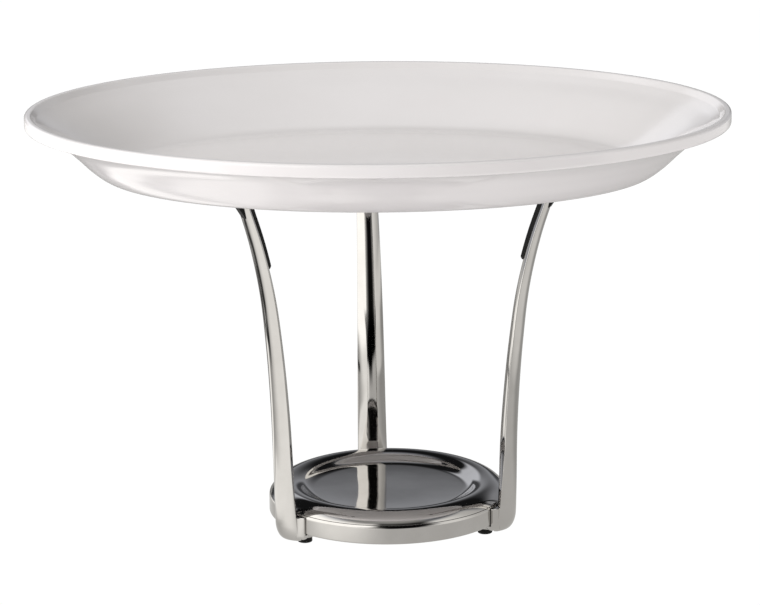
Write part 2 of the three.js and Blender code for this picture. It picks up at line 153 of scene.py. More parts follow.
def smooth(ob, angle=35.0, weighted=True):
    me = ob.data
    for p in me.polygons:
        p.use_smooth = True
    me.set_sharp_from_angle(angle=math.radians(angle))
    if weighted:
        m = ob.modifiers.new("normals", "WEIGHTED_NORMAL")
        m.weight = 60
        m.keep_sharp = True


def bm_loft(rings, cap_start=True, cap_end=True, close=False):
    """bmesh skin over rings of points in mm."""
    bm = bmesh.new()
    rows = [[bm.verts.new((p[0] * MM, p[1] * MM, p[2] * MM)) for p in r] for r in rings]
    n = len(rings[0])
    pairs = list(zip(rows, rows[1:])) + ([(rows[-1], rows[0])] if close else [])
    for a, b in pairs:
        for i in range(n):
            j = (i + 1) % n
            bm.faces.new((a[i], a[j], b[j], b[i]))
    for row, want in ((rows[0], cap_start), (rows[-1], cap_end)):
        if want and not close:
            bm.faces.new(row)
    return bm


def bm_turned(profile, seg=256, cx=0.0, cy=0.0):
    """bmesh of a turned profile [(r, z)] in mm. Points on the axis become one vertex; the profile closes on itself if it has none."""
    bm = bmesh.new()
    rows = []
    for r, z in profile:
        if r < 1e-6:
            rows.append([bm.verts.new((cx * MM, cy * MM, z * MM))])
        else:
            rows.append([bm.verts.new(((cx + r * math.cos(2 * math.pi * i / seg)) * MM,
                                       (cy + r * math.sin(2 * math.pi * i / seg)) * MM, z * MM)) for i in range(seg)])
    pairs = list(zip(rows, rows[1:]))
    if len(rows[0]) > 1 and len(rows[-1]) > 1:
        pairs.append((rows[-1], rows[0]))
    for a, b in pairs:
        for i in range(seg):
            j = (i + 1) % seg
            if len(a) == 1 and len(b) == 1:
                continue
            if len(a) == 1:
                bm.faces.new((a[0], b[j], b[i]))
            elif len(b) == 1:
                bm.faces.new((a[i], a[j], b[0]))
            else:
                bm.faces.new((a[i], a[j], b[j], b[i]))
    return bm


def temp_object(bm, name="cutter"):
    bmesh.ops.recalc_face_normals(bm, faces=bm.faces)
    me = bpy.data.meshes.new(name)
    bm.to_mesh(me)
    bm.free()
    ob = bpy.data.objects.new(name, me)
    bpy.context.scene.collection.objects.link(ob)
    return ob


def booleans(bm, steps, name):
    """Applies [(operation, bmesh)] to bm and gives back the resulting bmesh."""
    ob = temp_object(bm, name + "_raw")
    others = []
    for op, other in steps:
        o = temp_object(other, name + "_tool")
        others.append(o)
        m = ob.modifiers.new("b", "BOOLEAN")
        m.operation, m.solver, m.object = op, "EXACT", o
    dg = bpy.context.evaluated_depsgraph_get()
    me = bpy.data.meshes.new_from_object(ob.evaluated_get(dg), depsgraph=dg)
    out = bmesh.new()
    out.from_mesh(me)
    bpy.data.meshes.remove(me)
    for o in (ob, *others):
        d = o.data
        bpy.data.objects.remove(o)
        bpy.data.meshes.remove(d)
    bmesh.ops.remove_doubles(out, verts=out.verts, dist=2e-6)
    bmesh.ops.dissolve_degenerate(out, edges=out.edges, dist=1e-6)
    return out


def bm_prism(outline, lo, hi, axis="z"):
    """bmesh of an outline [(x, y)] in mm, extruded from lo to hi along axis. For axis 'y' the outline is [(x, z)]; for 'x' it is [(y, z)]."""
    bm = bmesh.new()

    def place(p, h):
        x, y = p
        return {"z": (x, y, h), "y": (x, h, y), "x": (h, x, y)}[axis]
    a = [bm.verts.new(Vector(place(p, lo)) * MM) for p in outline]
    b = [bm.verts.new(Vector(place(p, hi)) * MM) for p in outline]
    n = len(a)
    bm.faces.new(a)
    bm.faces.new(b)
    for i in range(n):
        j = (i + 1) % n
        bm.faces.new((a[i], a[j], b[j], b[i]))
    return bm


def bm_cyl(r, lo, hi, seg=48, axis="z", c=(0.0, 0.0)):
    pts = [(c[0] + r * math.cos(2 * math.pi * i / seg), c[1] + r * math.sin(2 * math.pi * i / seg)) for i in range(seg)]
    return bm_prism(pts, lo, hi, axis)


def turn_to(ob, az):
    """Turns a mesh that was made in the plane of azimuth 0 about the stand's axis."""
    m = Matrix.Translation(Vector((STAND_X, STAND_Y, 0)) * MM) @ Matrix.Rotation(math.radians(az), 4, "Z")
    ob.data.transform(m)
    ob.data.update()


def piece(ob, body, node):
    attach(ob, body)
    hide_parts(node)
    return ob


# ----------------------------------------------------------------- materials
def new_material(name):
    mat = bpy.data.materials.new(name)
    mat.use_nodes = True
    nt = mat.node_tree
    nt.nodes.clear()
    out = nt.nodes.new("ShaderNodeOutputMaterial")
    bsdf = nt.nodes.new("ShaderNodeBsdfPrincipled")
    nt.links.new(bsdf.outputs["BSDF"], out.inputs["Surface"])
    coord = nt.nodes.new("ShaderNodeTexCoord")
    return mat, nt, bsdf, coord


def noise(nt, coord, scale, detail=3.0, rough=0.5, stretch=None, distortion=0.0):
    src = coord.outputs["Object"]
    if stretch:
        mp = nt.nodes.new("ShaderNodeMapping")
        mp.inputs["Scale"].default_value = stretch
        nt.links.new(src, mp.inputs["Vector"])
        src = mp.outputs["Vector"]
    n = nt.nodes.new("ShaderNodeTexNoise")
    n.inputs["Scale"].default_value = scale
    n.inputs["Detail"].default_value = detail
    n.inputs["Roughness"].default_value = rough
    n.inputs["Distortion"].default_value = distortion
    nt.links.new(src, n.inputs["Vector"])
    return n.outputs["Fac"]


def ramp(nt, fac, stops):
    r = nt.nodes.new("ShaderNodeValToRGB")
    while len(r.color_ramp.elements) > 1:
        r.color_ramp.elements.remove(r.color_ramp.elements[-1])
    first = True
    for pos, col in stops:
        c = (col, col, col, 1.0) if isinstance(col, (int, float)) else (*col, 1.0)
        if first:
            e = r.color_ramp.elements[0]
            e.position = pos
            first = False
        else:
            e = r.color_ramp.elements.new(pos)
        e.color = c
    nt.links.new(fac, r.inputs["Fac"])
    return r.outputs["Color"]


def bump(nt, height, distance, strength=1.0, before=None):
    b = nt.nodes.new("ShaderNodeBump")
    b.inputs["Distance"].default_value = distance
    b.inputs["Strength"].default_value = strength
    nt.links.new(height, b.inputs["Height"])
    if before is not None:
        nt.links.new(before, b.inputs["Normal"])
    return b.outputs["Normal"]


def steel_material():
    mat, nt, p, co = new_material("polished_steel")
    p.inputs["Metallic"].default_value = 1.0
    # faint cloudiness that polishing leaves
    tint = ramp(nt, noise(nt, co, 55.0, 4.0, 0.6), [(0.3, (0.500, 0.487, 0.470)), (0.7, (0.545, 0.533, 0.517))])
    nt.links.new(tint, p.inputs["Base Color"])
    rough = ramp(nt, noise(nt, co, 90.0, 5.0, 0.65), [(0.35, 0.030), (0.65, 0.075)])
    nt.links.new(rough, p.inputs["Roughness"])
    # slow waves of a hand-polished casting, then very fine polishing lines
    n1 = bump(nt, noise(nt, co, 60.0, 1.0, 0.4), 0.00006, 1.0)
    n2 = bump(nt, noise(nt, co, 900.0, 2.0, 0.5, stretch=(1.0, 1.0, 0.08)), 0.0000012, 1.0, before=n1)
    nt.links.new(n2, p.inputs["Normal"])
    return mat


def screw_material():
    mat, nt, p, co = new_material("screw_steel")
    p.inputs["Metallic"].default_value = 1.0
    tint = ramp(nt, noise(nt, co, 400.0, 3.0, 0.6), [(0.3, (0.40, 0.395, 0.385)), (0.7, (0.52, 0.515, 0.505))])
    nt.links.new(tint, p.inputs["Base Color"])
    rough = ramp(nt, noise(nt, co, 700.0, 3.0, 0.6), [(0.3, 0.26), (0.7, 0.42)])
    nt.links.new(rough, p.inputs["Roughness"])
    nt.links.new(bump(nt, noise(nt, co, 2500.0, 2.0), 0.00002, 0.6), p.inputs["Normal"])
    return mat


def rubber_material():
    mat, nt, p, co = new_material("rubber")
    tint = ramp(nt, noise(nt, co, 300.0, 4.0, 0.6), [(0.3, (0.0030, 0.0030, 0.0032)), (0.7, (0.0062, 0.0061, 0.0060))])
    nt.links.new(tint, p.inputs["Base Color"])
    rough = ramp(nt, noise(nt, co, 500.0, 4.0, 0.6), [(0.3, 0.42), (0.7, 0.60)])
    nt.links.new(rough, p.inputs["Roughness"])
    p.inputs["Specular IOR Level"].default_value = 0.22
    nt.links.new(bump(nt, noise(nt, co, 1800.0, 3.0), 0.00003, 0.7), p.inputs["Normal"])
    return mat


def porcelain_material():
    mat, nt, p, co = new_material("porcelain")
    tint = ramp(nt, noise(nt, co, 14.0, 3.0, 0.5), [(0.3, (0.808, 0.781, 0.774)), (0.7, (0.838, 0.813, 0.809))])
    nt.links.new(tint, p.inputs["Base Color"])
    rough = ramp(nt, noise(nt, co, 70.0, 4.0, 0.6), [(0.3, 0.10), (0.7, 0.17)])
    nt.links.new(rough, p.inputs["Roughness"])
    p.inputs["IOR"].default_value = 1.5
    p.inputs["Coat Weight"].default_value = 0.35
    p.inputs["Coat Roughness"].default_value = 0.06
    n1 = bump(nt, noise(nt, co, 22.0, 1.0, 0.4), 0.0003, 0.5)
    n2 = bump(nt, noise(nt, co, 420.0, 3.0, 0.5), 0.000006, 0.6, before=n1)
    nt.links.new(n2, p.inputs["Normal"])
    return mat


STEEL, SCREW, RUBBER, PORCELAIN = steel_material(), screw_material(), rubber_material(), porcelain_material()


# -------------------------------------------------------------------- camera
def make_camera():
    focal, dist, high = 3495.74, 1949.18, 640.07
    yaw, pitch, roll = 0.0019, 0.2591, -0.0076
    f = Vector((-math.sin(yaw) * math.cos(pitch), math.cos(yaw) * math.cos(pitch), -math.sin(pitch)))
    r = Vector((math.cos(yaw), math.sin(yaw), 0.0))
    u = r.cross(f)
    r2 = r * math.cos(roll) + u * math.sin(roll)
    u2 = -r * math.sin(roll) + u * math.cos(roll)
    data = bpy.data.cameras.new("camera")
    data.sensor_fit, data.sensor_width = "HORIZONTAL", 36.0
    data.lens = 36.0 * focal / 760.0
    data.clip_start, data.clip_end = 0.05, 100.0
    cam = bpy.data.objects.new("camera", data)
    m = Matrix((r2, u2, -f)).transposed().to_4x4()
    m.translation = Vector((4.2, -dist - 2.0, high + 8.7)) * MM
    cam.matrix_world = m
    bpy.context.scene.collection.objects.link(cam)
    bpy.context.scene.camera = cam


make_camera()


# ------------------------------------------------------------------- platter
def make_platter():
    T, L, B, W = RIM_TOP, RIM_LOW, BASE_Z, WELL_Z
    outside = smooth_line([(46.0, B), (43.6, B + 0.55), (40.0, B + 2.6), (34.0, B + 7.4), (26.6, B + 14.6),
                           (18.9, B + 21.4), (11.4, B + 26.2), (7.0, B + 28.2), (4.6, B + 28.9)], 1.2)
    lip = filleted([(4.6, B + 28.9, 0.0), (3.4, L, 0.8), (-1.0, L, 1.5), (-1.0, T, 1.9), (2.6, T, 1.5),
                    (5.6, T - 3.5, 3.0), (8.6, T - 5.4, 0.0)], closed=False, seg=7)
    inside = smooth_line([(8.6, T - 5.4), (11.0, W + 24.8), (20.0, W + 20.0), (29.0, W + 14.5), (38.0, W + 8.7),
                          (45.5, W + 4.0), (51.5, W + 1.3), (58.0, W + 0.2), (66.0, W)], 1.2)
    rows = []

    def oval(a, b, z):
        seg = 288
        return [(a * math.cos(2 * math.pi * i / seg), b * math.sin(2 * math.pi * i / seg), z) for i in range(seg)]
    # underside: flat foot with a shallow recess in the middle
    for k in (0.0, 0.35, 0.7, 0.9, 1.0):
        rows.append(oval(8 + 78 * k, 4 + 38 * k, B + 1.4))
    for a, b, z in ((87.2, 43.2, B + 1.32), (88.2, 44.2, B + 1.0), (88.9, 44.9, B + 0.5), (89.7, 45.7, B + 0.12),
                    (91.0, 47.0, B), (94.0, 50.0, B)):
        rows.append(oval(a, b, z))
    for k in (0.33, 0.66, 0.95):
        rows.append(oval(94 + (154 - 94) * k, 50 + (99 - 50) * k, B))
    for d, z in outside + lip[1:] + inside[1:]:
        rows.append(oval(PLATTER_A - d, PLATTER_B - d, min(z, T)))
    for k in (0.8, 0.6, 0.4, 0.2, 0.06):
        rows.append(oval(134 * k, 79 * k, W))
    bm = bm_loft(rows)
    ob = finish_mesh(bm, "platter_body", PORCELAIN, 60.0, weighted=False)
    return piece(ob, "platter", "platter")


make_platter()


# ---------------------------------------------------------------- base pieces
def dish_top(step):
    """The dish's upper surface from the flat middle outwards, as [(radius, height, slope in degrees)]."""
    s0 = 3.5
    w = DISH_FOOT - DISH_FLAT
    t = math.tan(math.radians(s0))
    out = [(DISH_FLAT + w * k / 10, DISH_F + w * t * (k / 10) ** 2 / 2, s0 * k / 10) for k in range(11)]
    r, z, s = out[-1]
    for R, end in DISH_ARCS:
        n = max(1, round(abs(end - s) / step))
        start = s
        for k in range(1, n + 1):
            e = start + (end - start) * k / n
            r += R * (math.sin(math.radians(s)) - math.sin(math.radians(e)))
            z -= R * (math.cos(math.radians(s)) - math.cos(math.radians(e)))
            s = e
            out.append((r, z, s))
    return out


def offset(rows, t):
    return [(r + t * math.sin(math.radians(s)), z - t * math.cos(math.radians(s))) for r, z, s in rows]


def make_ring():
    r, z, s = dish_top(2.0)[-1]
    c, q = math.cos(math.radians(-s)), math.sin(math.radians(-s))
    start = (r + 0.22 * c, z - 0.22 * q)
    centre = (start[0] - SHOULDER * q, start[1] - SHOULDER * c)
    arc = []
    for k in range(17):
        a = math.radians(90 + (58 - 90) * k / 16)
        arc.append((min(RING_R, centre[0] + SHOULDER * math.sin(a)), centre[1] + SHOULDER * math.cos(a), 0.0))
    pts = [(RING_INNER, RING_Z0, 0.5), (RING_R, RING_Z0, 0.9)]
    pts += arc + [(start[0], start[1], 0.12), (start[0] - 1.7 * q, start[1] - 1.7 * c, 0.2), (66.6, FLANGE_Z1, 0.6),
                  (FLANGE_R, FLANGE_Z1, 0.4), (FLANGE_R, FLANGE_Z0, 0.4), (RING_INNER, FLANGE_Z0, 0.6)]
    bm = bm_turned(filleted(pts, seg=6), 320)
    steps = []
    for az in DISH_SCREW_AZ:
        a = math.radians(az)
        steps.append(("DIFFERENCE", bm_cyl(1.8, FLANGE_Z0 - 1, FLANGE_Z1 + 1, 32, "z",
                                           (BOSS_R * math.cos(a), BOSS_R * math.sin(a)))))
    for az in LEG_AZ.values():
        hole = bm_cyl(2.3, 56.0, 76.0, 32, "x", (0.0, LEG_SCREW_Z))
        bmesh.ops.rotate(hole, verts=hole.verts, cent=(0, 0, 0), matrix=Matrix.Rotation(math.radians(az), 3, "Z"))
        steps.append(("DIFFERENCE", hole))
    bm = booleans(bm, steps, "ring")
    ob = finish_mesh(bm, "base_ring_body", STEEL, 32.0)
    turn_to(ob, 0.0)
    return piece(ob, "stand", "base_ring")


def make_dish():
    top = dish_top(2.0)
    upper = [(r, z) for r, z, s in top]
    under = offset(top, DISH_T)[::-1]
    flat = [(0.0, DISH_F), (4.0, DISH_F), (11.0, DISH_F)]
    prof = flat + upper[:-1] + filleted([(*upper[-2], 0.0), (*upper[-1], 0.15), (*under[0], 0.15), (*under[1], 0.0)],
                                        closed=False, seg=3)[1:-1] + under[1:] + [(11.0, DISH_F - DISH_T), (0.0, DISH_F - DISH_T)]
    bm = bm_turned(prof, 320)
    inside = [(0.0, DISH_F - 0.6)] + offset(top, 0.6) + [(66.0, FLANGE_Z1 - 1), (0.0, FLANGE_Z1 - 1)]
    steps = []
    for az in DISH_SCREW_AZ:
        a = math.radians(az)
        c = (BOSS_R * math.cos(a), BOSS_R * math.sin(a))
        boss = booleans(bm_cyl(3.6, FLANGE_Z1 + 0.3, 28.0, 40, "z", c), [("INTERSECT", bm_turned(inside, 96))], "boss")
        steps.append(("UNION", boss))
        steps.append(("DIFFERENCE", bm_cyl(1.8, FLANGE_Z1 - 1, 21.2, 32, "z", c)))
    bm = booleans(bm, steps, "dish")
    ob = finish_mesh(bm, "base_dish_body", STEEL, 32.0, weighted=False)
    turn_to(ob, 0.0)
    return piece(ob, "stand", "base_dish")


make_ring()
make_dish()

# ------------------------------------------------------------------- the legs
leg_r, leg_w, leg_d = table(LEG_CURVE), table(LEG_WIDTH), table(LEG_DEPTH)


def softened(pts, sigma):
    """Rounds the corners of a closed outline by averaging along its length."""
    n = len(pts)
    pos, total = [], 0.0
    for i in range(n):
        pos.append(total)
        total += math.dist(pts[i], pts[(i + 1) % n])
    span = [(math.dist(pts[i - 1], pts[i]) + math.dist(pts[i], pts[(i + 1) % n])) / 2 for i in range(n)]
    out = []
    for i in range(n):
        sw = sx = sy = 0.0
        for step in (1, -1):
            j = i if step == 1 else i - 1
            while True:
                d = abs(pos[j % n] - pos[i])
                d = min(d, total - d)
                if d > 3.2 * sigma:
                    break
                w = math.exp(-d * d / (2 * sigma * sigma)) * span[j % n]
                sw, sx, sy = sw + w, sx + w * pts[j % n][0], sy + w * pts[j % n][1]
                j += step
        out.append((sx / sw, sy / sw))
    return out


def spread(n):
    """n steps from 0 to just under 1, closer together at both ends."""
    return [0.5 - 0.5 * math.cos(math.pi * k / n) for k in range(n)]


def leg_section(w, d, f, raised, widest):
    """Outline of the leg at one height as [(outward, sideways)]: a slightly raised inner face of half width f, two
    slanted and swelling inner faces and a rounded outer face."""
    n1 = widest * d
    s, c = d / 2 - n1, w / 2
    R = (c * c + s * s) / (2 * s)
    a0 = math.asin(c / R)
    pts = []
    for u in spread(20):
        k = 2 * u - 1
        pts.append((-d / 2 - raised * (0.45 - k * k), f * k))
    edge = (-d / 2 + raised * 0.55, f)
    # the swelling is drawn along the slanted face's own normal
    dn, dt = n1 - edge[0], c - f
    for u in spread(16):
        h = 0.26 * raised / 0.36 * u * (1 - u)
        pts.append((edge[0] + dn * u - dt * h, f + dt * u + dn * h))
    for u in spread(44):
        a = a0 * (1 - 2 * u)
        pts.append((d / 2 - R + R * math.cos(a), R * math.sin(a)))
    for u in spread(16):
        h = 0.26 * raised / 0.36 * u * (1 - u)
        pts.append((n1 - dn * u - dt * h, -c + dt * u - dn * h))
    return softened(pts, 0.30)


def leg_bar():
    # heights, with the half width of the inner face: squared off below, where the leg meets the ring
    rows = [(TOE_Z0 + 10.4 * (1 - math.cos(math.pi / 2 * k / 16)), LUG_HALF, 0.0) for k in range(16)]
    top = LUG_Z1
    f = 0.18 * leg_w(top)
    rows += [(top - 1.8, LUG_HALF, 0.0), (top - 0.7, LUG_HALF, 0.0), (top - 0.4, LUG_HALF - 0.06, 0.0),
             (top - 0.2, LUG_HALF - 0.2, 0.0), (top - 0.06, LUG_HALF - 0.45, 0.0), (top, LUG_HALF - 0.8, 0.0),
             (top + 0.04, f + 1.2, 0.0), (top + 0.12, f + 0.6, 0.2), (top + 0.35, f + 0.2, 0.6), (top + 0.7, f, 1.0)]
    z = top + 0.7
    while z < LEG_TOP - 2.5:
        z += 2.2
        rows.append((z, 0.18 * leg_w(z), 1.0))
    rows.append((LEG_TOP, 0.18 * leg_w(LEG_TOP), 1.0))
    rings = []
    for z, f, k in rows:
        w, d = leg_w(z), leg_d(z)

        def dip(h):
            return math.sqrt(max(0.0, 1 - max(0.0, 1 - (z - TOE_Z0) / h) ** 2))
        ring = []
        # broad and round where it holds the ring, faceted higher up
        e = min(1.0, max(0.0, (z - 10.0) / 50.0))
        for n, t in leg_section(w, d, f, 0.36 * k, -0.15 + 0.29 * e * e * (3 - 2 * e)):
            out = (n + d / 2) / d
            b = 0.86 - 0.3 * out
            ring.append((leg_r(z) - d / 2 + (n + d / 2) * (0.42 + 0.58 * dip(11.5)), t * (b + (1 - b) * dip(3.5 + 6.5 * out)), z))
        rings.append(ring)
    return bm_loft(rings)


def grip_outline(grow):
    def inner(z):
        return leg_r(z) - leg_d(z) / 2

    def outer(z):
        return leg_r(z) + leg_d(z) / 2

    def proud(z):
        return 2.0 + 0.3 * (z - GRIP_LOW) / (GRIP_TOP - GRIP_LOW)
    lo, lip, top = GRIP_LOW, LIP_Z, GRIP_TOP
    pts = [(inner(lo) - proud(lo) + 1.3, lo - grow, 0.4), (inner(lo + 1.6) - proud(lo), lo + 1.6, 0.7)]
    pts += [(inner(z) - proud(z), z, 0.0) for z in (170, 175, 180, 185, 190, 195, 200)]
    pts += [(inner(206) - proud(206), top - 1.4, 0.6), (inner(206) - proud(206) + 1.4, top, 0.6),
            (outer(206) + GRIP_LIP - 0.2, top, 0.9), (outer(203.4) + GRIP_LIP - 0.1, 203.4, 1.5),
            (outer(199.8) + GRIP_LIP - 1.3, 199.8, 1.5), (outer(lip) + 0.2, lip - grow, 0.3),
            (outer(lip) - GRIP_SLOT - grow, lip - grow, 0.0), (outer(201) - GRIP_SLOT - grow, 201, 0.0),
            (outer(205) - GRIP_SLOT - grow, LEG_TOP - 1.2 - grow, 0.0),
            (inner(205) + GRIP_SLOT + grow, LEG_TOP - 1.2 - grow, 0.0)]
    pts += [(inner(z) + GRIP_SLOT + grow, z, 0.0) for z in (200, 195, 190, 185, 180, 175, 170)]
    pts += [(inner(lo) + GRIP_SLOT + grow, lo - grow, 0.0)]
    return filleted(pts, seg=4)


def grip_body(grow):
    w = GRIP_W / 2 + grow
    return bm_prism(grip_outline(grow), -w, w, "y")


def saddle():
    """Flared plate on both sides of the leg's lower end that follows the ring."""
    half = [(64.0, 0.0), (64.0, 8.2), (66.2, 10.6), (67.8, SADDLE_HALF)]
    p, q, r = (69.9, SADDLE_HALF + 0.15), (70.7, 9.7), (72.9, 8.7)
    for k in range(17):
        u = k / 16
        half.append(tuple(p[i] * (1 - u) ** 2 + 2 * q[i] * u * (1 - u) + r[i] * u * u for i in (0, 1)))
    outline = half + [(x, -y) for x, y in half[:0:-1]]
    rows = []
    for k in range(9):
        a = math.pi / 2 * k / 8
        rows.append((5.2 + 2.4 * (1 - math.cos(a)), 0.84 + 0.16 * math.sin(a)))
    rows += [(LUG_Z1 - 0.5, 1.0), (LUG_Z1 - 0.2, 0.995), (LUG_Z1 - 0.05, 0.985), (LUG_Z1, 0.975)]
    return bm_loft([[(67 + (x - 67) * k, y * k, z) for x, y in outline] for z, k in rows])


def make_leg_mesh():
    steps = [("UNION", saddle())]
    toe = [(70.6, -TOE_HALF), (70.6, TOE_HALF)]
    for k in range(33):
        a = math.pi / 2 + math.pi * k / 32
        toe.append((TOE_R + TOE_HALF * math.cos(a), TOE_HALF * math.sin(a)))
    toe_bm = bm_prism(toe, TOE_Z0, TOE_Z1, "z")
    low = [e for e in toe_bm.edges if all(v.co.z < (TOE_Z0 + 0.1) * MM for v in e.verts)]
    bmesh.ops.bevel(toe_bm, geom=low, offset=0.7 * MM, segments=4, profile=0.5, affect="EDGES")
    steps.append(("UNION", toe_bm))
    steps.append(("DIFFERENCE", bm_cyl(RING_R + 0.3, TOE_Z1, 20.2, 320, "z")))
    steps.append(("DIFFERENCE", bm_cyl(2.3, 66.0, 77.6, 32, "x", (0.0, LEG_SCREW_Z))))
    steps.append(("DIFFERENCE", bm_cyl(1.8, TOE_Z0 - 1, TOE_Z1 - 0.9, 32, "z", (TOE_R, 0.0))))
    steps.append(("DIFFERENCE", grip_body(0.12)))
    bm = booleans(leg_bar(), steps, "leg")
    me = bpy.data.meshes.new("leg_mesh")
    bmesh.ops.recalc_face_normals(bm, faces=bm.faces)
    bm.to_mesh(me)
    bm.free()
    return me


def copy_of(me, name, mat, az, angle=30.0, weighted=True):
    data = me.copy()
    data.name = name
    ob = bpy.data.objects.new(name, data)
    bpy.context.scene.collection.objects.link(ob)
    data.materials.clear()
    data.materials.append(mat)
    smooth(ob, angle, weighted)
    turn_to(ob, az)
    return ob


def mesh_of(bm, name, bevel=0.0):
    if bevel:
        sharp = [e for e in bm.edges if len(e.link_faces) == 2 and e.calc_face_angle(0.0) > math.radians(60)]
        bmesh.ops.bevel(bm, geom=sharp, offset=bevel * MM, segments=3, profile=0.5, affect="EDGES", clamp_overlap=True)
    bmesh.ops.recalc_face_normals(bm, faces=bm.faces)
    me = bpy.data.meshes.new(name)
    bm.to_mesh(me)
    bm.free()
    return me


leg_mesh = make_leg_mesh()
grip_mesh = mesh_of(grip_body(0.0), "grip_mesh", 0.35)


# ------------------------------------------------------------ screws and feet
def hex_points(r):
    return [(r * math.cos(math.radians(60 * k + 30)), r * math.sin(math.radians(60 * k + 30))) for k in range(6)]


def make_leg_screw():
    prof = [(0.0, 0.0), (2.0, 0.0), (2.5, 0.12), (2.95, 0.5), (3.2, 1.0), (3.3, 1.6), (3.3, 2.1), (3.25, 2.2), (2.0, 2.2)]
    z = 2.2
    while z < 18.0:                      # rolled thread, seen only in the screw hole
        prof += [(2.0, z + 0.1), (1.72, z + 0.35), (2.0, z + 0.6)]
        z += 0.7
    prof += [(1.6, 18.6), (0.0, 18.6)]
    bm = bm_turned(prof, 40)
    bm = booleans(bm, [("DIFFERENCE", bm_prism(hex_points(1.35), -0.5, 1.3, "z"))], "leg_screw")
    bmesh.ops.rotate(bm, verts=bm.verts, cent=(0, 0, 0), matrix=Matrix.Rotation(math.pi / 2, 3, "Y"))
    bmesh.ops.translate(bm, verts=bm.verts, vec=Vector((RING_INNER - 2.5, 0, LEG_SCREW_Z)) * MM)
    return mesh_of(bm, "leg_screw_mesh")


def make_pan_screw(x, z0, z1, head):
    """Countersunk-free pan head pointing down, with a cross slot."""
    prof = [(0.0, z0), (head * 0.55, z0), (head * 0.82, z0 + 0.18), (head * 0.96, z0 + 0.55), (head, z0 + 0.95), (head, z0 + 1.2),
            (1.5, z0 + 1.2)]
    z = z0 + 1.25
    while z < z1 - 0.9:
        prof += [(1.5, z + 0.05), (1.28, z + 0.25), (1.5, z + 0.45)]
        z += 0.5
    prof += [(1.1, z1), (0.0, z1)]
    bm = bm_turned(prof, 36)
    cross = [("DIFFERENCE", bm_prism([(-1.5, -0.28), (1.5, -0.28), (1.5, 0.28), (-1.5, 0.28)], z0 - 0.5, z0 + 0.75, "z")),
             ("DIFFERENCE", bm_prism([(-0.28, -1.5), (0.28, -1.5), (0.28, 1.5), (-0.28, 1.5)], z0 - 0.5, z0 + 0.75, "z"))]
    bm = booleans(bm, cross, "pan_screw")
    bmesh.ops.translate(bm, verts=bm.verts, vec=Vector((x, 0, 0)) * MM)
    return mesh_of(bm, "pan_screw_mesh")


def make_foot():
    prof = filleted([(1.8, 2.0, 0.0), (3.0, 2.0, 0.2), (3.0, 0.0, 0.35), (4.3, 0.0, 0.7), (4.15, 3.6, 0.3), (1.8, 3.6, 0.0)], seg=5)
    bm = bm_turned(prof, 72)
    bmesh.ops.translate(bm, verts=bm.verts, vec=Vector((TOE_R, 0, 0)) * MM)
    return mesh_of(bm, "foot_mesh")


leg_screw, foot_screw, dish_screw, foot = make_leg_screw(), make_pan_screw(TOE_R, 0.5, 6.9, 2.6), \
    make_pan_screw(BOSS_R, 14.3, 20.5, 2.6), make_foot()

for side, az in LEG_AZ.items():
    piece(copy_of(leg_mesh, f"leg_{side}_body", STEEL, az, 32.0), "stand", f"leg_{side}")
    piece(copy_of(grip_mesh, f"grip_{side}_body", RUBBER, az, 40.0), "stand", f"grip_{side}")
    piece(copy_of(foot, f"rubber_foot_{side}_body", RUBBER, az, 50.0, False), "stand", f"rubber_foot_{side}")
    piece(copy_of(leg_screw, f"leg_screw_{side}_body", SCREW, az), "stand", f"leg_screw_{side}")
    piece(copy_of(foot_screw, f"foot_screw_{side}_body", SCREW, az), "stand", f"foot_screw_{side}")
for i, az in enumerate(DISH_SCREW_AZ):
    piece(copy_of(dish_screw, f"dish_screw_{i + 1}_body", SCREW, az), "stand", f"dish_screw_{i + 1}")
for me in (leg_mesh, grip_mesh, leg_screw, foot_screw, dish_screw, foot):
    bpy.data.meshes.remove(me)


# --------------------------------------------------------------------- studio
def stage_object(name, verts, faces, mat):
    me = bpy.data.meshes.new(name)
    me.from_pydata(verts, [], faces)
    me.materials.append(mat)
    ob = bpy.data.objects.new(name, me)
    bpy.context.scene.collection.objects.link(ob)
    return ob


def glow_material(name, strength, colour=(1.0, 1.0, 1.0), attribute=None):
    """Material that only gives light: one brightness, or the one stored in a colour attribute."""
    mat = bpy.data.materials.new(name)
    mat.use_nodes = True
    nt = mat.node_tree
    nt.nodes.clear()
    out = nt.nodes.new("ShaderNodeOutputMaterial")
    em = nt.nodes.new("ShaderNodeEmission")
    em.inputs["Strength"].default_value = strength
    em.inputs["Color"].default_value = (*colour, 1.0)
    if attribute:
        at = nt.nodes.new("ShaderNodeAttribute")
        at.attribute_name = attribute
        nt.links.new(at.outputs["Color"], em.inputs["Color"])
    nt.links.new(em.outputs["Emission"], out.inputs["Surface"])
    return mat


def smoothstep(a, b, x):
    t = max(0.0, min(1.0, (x - a) / (b - a)))
    return t * t * (3 - 2 * t)


def mix(a, b, w):
    return a * (1 - w) + b * w


WARM, COOL = (1.0, 0.985, 0.955), (0.93, 0.955, 1.03)


